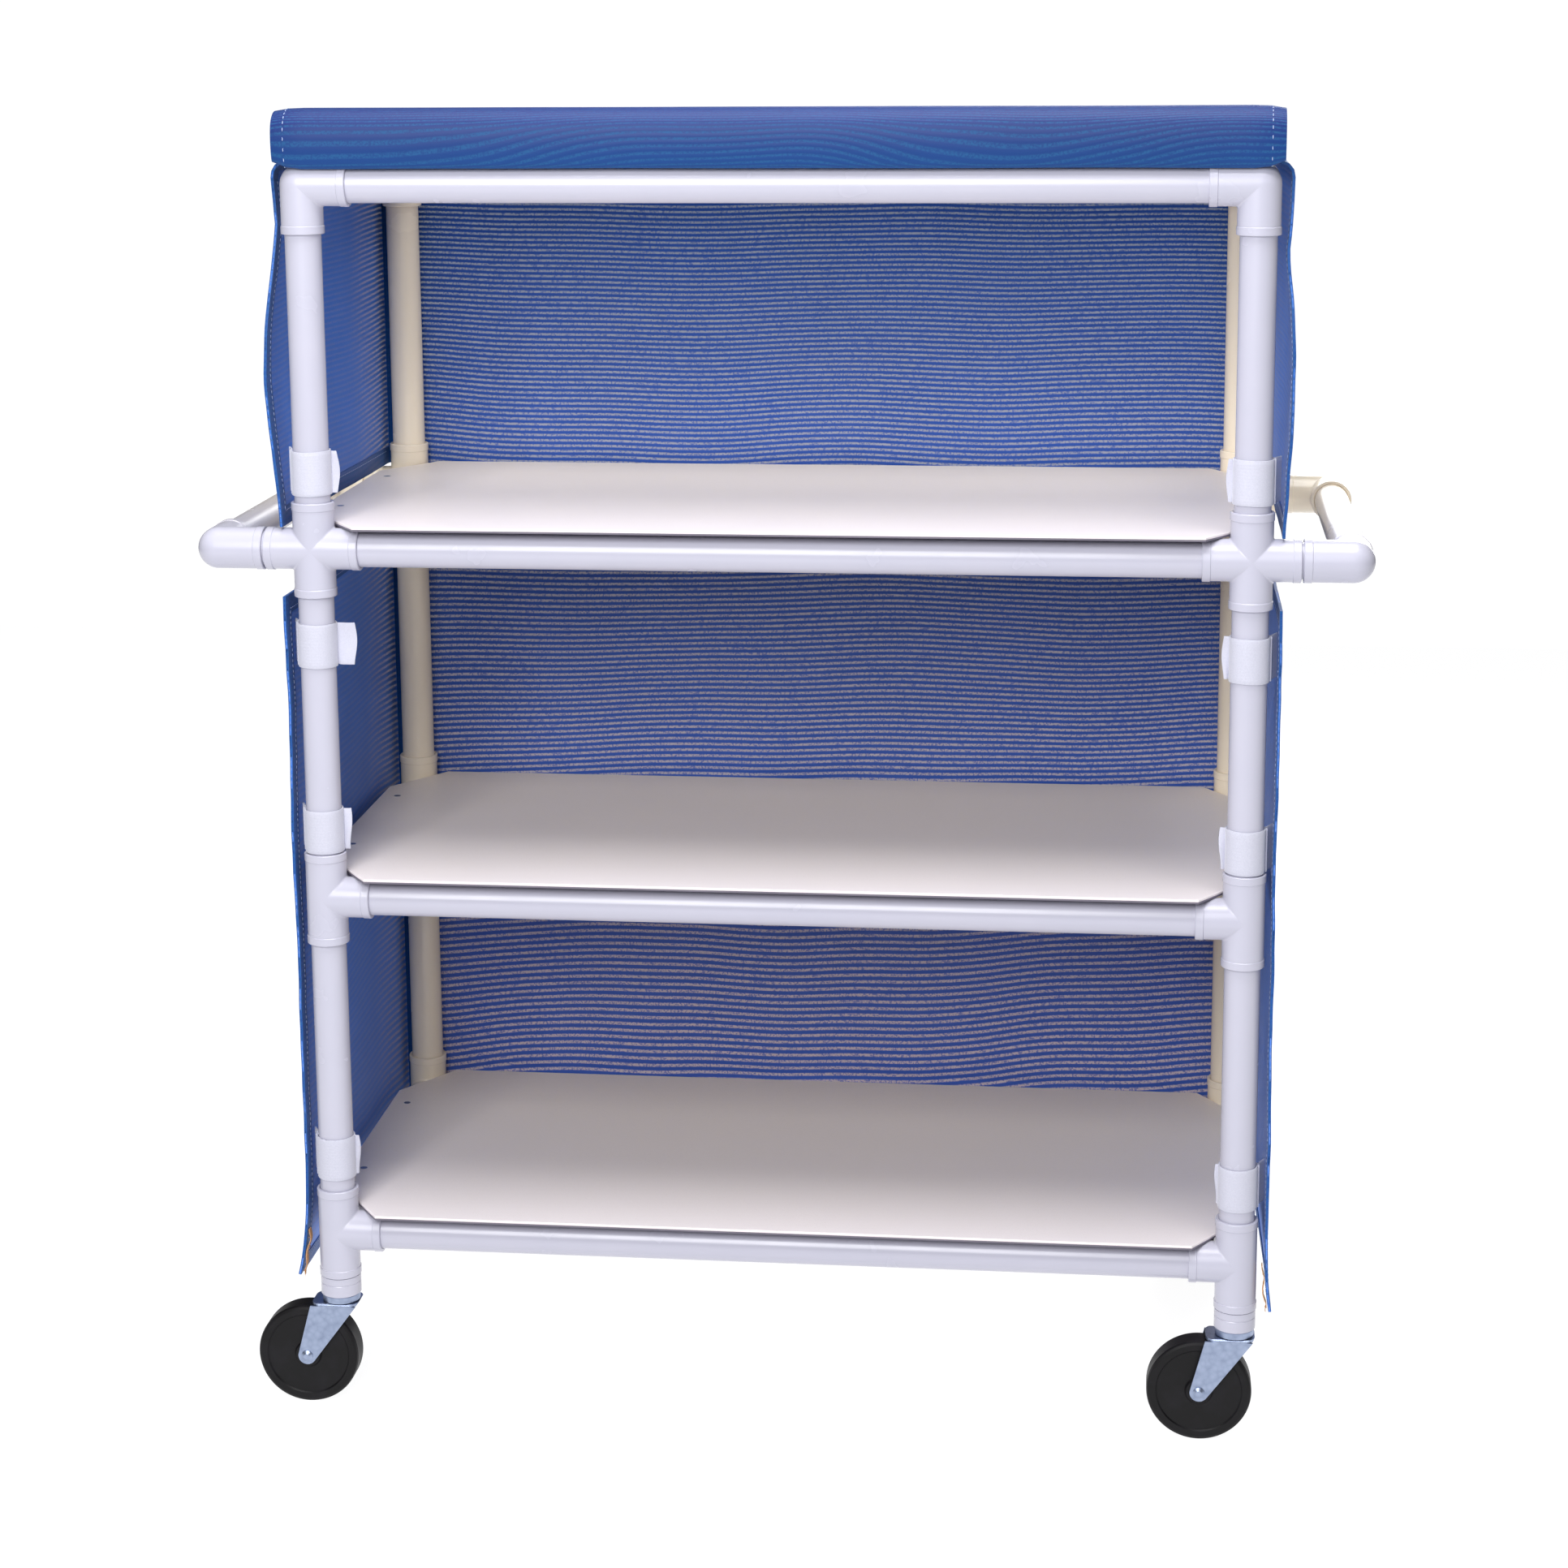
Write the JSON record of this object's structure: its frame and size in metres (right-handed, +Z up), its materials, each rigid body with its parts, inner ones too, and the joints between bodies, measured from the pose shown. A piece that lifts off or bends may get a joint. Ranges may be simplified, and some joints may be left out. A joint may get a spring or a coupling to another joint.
{
  "type": "linen trolley",
  "caption": "Covered linen trolley: white plastic pipe frame with flat shelves, push handles at both ends, swivel casters and a blue mesh cover with its front rolled up.",
  "frame": {"origin": "on the floor under the middle of the post rectangle, at the bottom centre of the bounding box", "axes": "+Z up, +X to the right along the long rails, -Y out of the open front"},
  "size_m": [1.3696, 0.556, 1.5817],
  "materials": {
    "white_pipe": "satin",
    "white_fitting": "gloss",
    "shelf_board": "matte",
    "blue_mesh": "satin",
    "white_strap": "matte",
    "tan_tape": "matte",
    "plated_steel": "satin",
    "black_rubber": "satin"
  },
  "bodies": {
    "frame": {"post_front_left": "white_pipe", "post_front_right": "white_pipe", "post_rear_left": "white_pipe", "post_rear_right": "white_pipe", "bottom_tee_front_left": "white_fitting", "bottom_tee_front_right": "white_fitting", "bottom_tee_rear_left": "white_fitting", "bottom_tee_rear_right": "white_fitting", "middle_tee_front_left": "white_fitting", "middle_tee_front_right": "white_fitting", "middle_tee_rear_left": "white_fitting", "middle_tee_rear_right": "white_fitting", "handle_cross_front_left": "white_fitting", "handle_cross_front_right": "white_fitting", "handle_cross_rear_left": "white_fitting", "handle_cross_rear_right": "white_fitting", "top_corner_front_left": "white_fitting", "top_corner_front_right": "white_fitting", "top_corner_rear_left": "white_fitting", "top_corner_rear_right": "white_fitting", "long_rails_lower": "white_pipe", "side_rails_lower": "white_pipe", "long_rails_middle": "white_pipe", "side_rails_middle": "white_pipe", "long_rails_upper": "white_pipe", "side_rails_upper": "white_pipe", "long_rails_top": "white_pipe", "side_rails_top": "white_pipe", "handle_elbows_left": "white_fitting", "handle_elbows_right": "white_fitting", "handle_bar_left": "white_pipe", "handle_bar_right": "white_pipe", "shelf_lower": "shelf_board", "shelf_middle": "shelf_board", "shelf_upper": "shelf_board", "shelf_screws": "plated_steel", "cover_back": "blue_mesh", "cover_top": "blue_mesh", "cover_side_left_upper": "blue_mesh", "cover_side_left_lower": "blue_mesh", "cover_side_right_upper": "blue_mesh", "cover_side_right_lower": "blue_mesh", "front_flap_roll": "blue_mesh", "cover_straps": "white_strap", "closure_tapes": "tan_tape", "caster_sockets": "white_fitting", "caster_stems": "plated_steel", "bearing_balls": "plated_steel"},
    "caster_front_left": {"fork_front_left": "plated_steel", "axle_front_left": "plated_steel"},
    "roller_front_left": {"wheel_front_left": "black_rubber"},
    "caster_front_right": {"fork_front_right": "plated_steel", "axle_front_right": "plated_steel"},
    "roller_front_right": {"wheel_front_right": "black_rubber"},
    "caster_rear_left": {"fork_rear_left": "plated_steel", "axle_rear_left": "plated_steel"},
    "roller_rear_left": {"wheel_rear_left": "black_rubber"},
    "caster_rear_right": {"fork_rear_right": "plated_steel", "axle_rear_right": "plated_steel"},
    "roller_rear_right": {"wheel_rear_right": "black_rubber"}
  },
  "joints": [
    {"name": "swivel_front_left", "type": "hinge", "parent": "frame", "child": "caster_front_left", "pos_m": [-0.545, -0.248, 0.1315], "axis": [0, 0, 1], "continuous": true},
    {"name": "wheel_spin_front_left", "type": "hinge", "parent": "caster_front_left", "child": "roller_front_left", "pos_m": [-0.586, -0.248, 0.0625], "axis": [0, 1, 0], "continuous": true},
    {"name": "swivel_front_right", "type": "hinge", "parent": "frame", "child": "caster_front_right", "pos_m": [0.545, -0.248, 0.1315], "axis": [0, 0, 1], "continuous": true},
    {"name": "wheel_spin_front_right", "type": "hinge", "parent": "caster_front_right", "child": "roller_front_right", "pos_m": [0.504, -0.248, 0.0625], "axis": [0, 1, 0], "continuous": true},
    {"name": "swivel_rear_left", "type": "hinge", "parent": "frame", "child": "caster_rear_left", "pos_m": [-0.545, 0.248, 0.1315], "axis": [0, 0, 1], "continuous": true},
    {"name": "wheel_spin_rear_left", "type": "hinge", "parent": "caster_rear_left", "child": "roller_rear_left", "pos_m": [-0.586, 0.248, 0.0625], "axis": [0, 1, 0], "continuous": true},
    {"name": "swivel_rear_right", "type": "hinge", "parent": "frame", "child": "caster_rear_right", "pos_m": [0.545, 0.248, 0.1315], "axis": [0, 0, 1], "continuous": true},
    {"name": "wheel_spin_rear_right", "type": "hinge", "parent": "caster_rear_right", "child": "roller_rear_right", "pos_m": [0.504, 0.248, 0.0625], "axis": [0, 1, 0], "continuous": true}
  ]
}
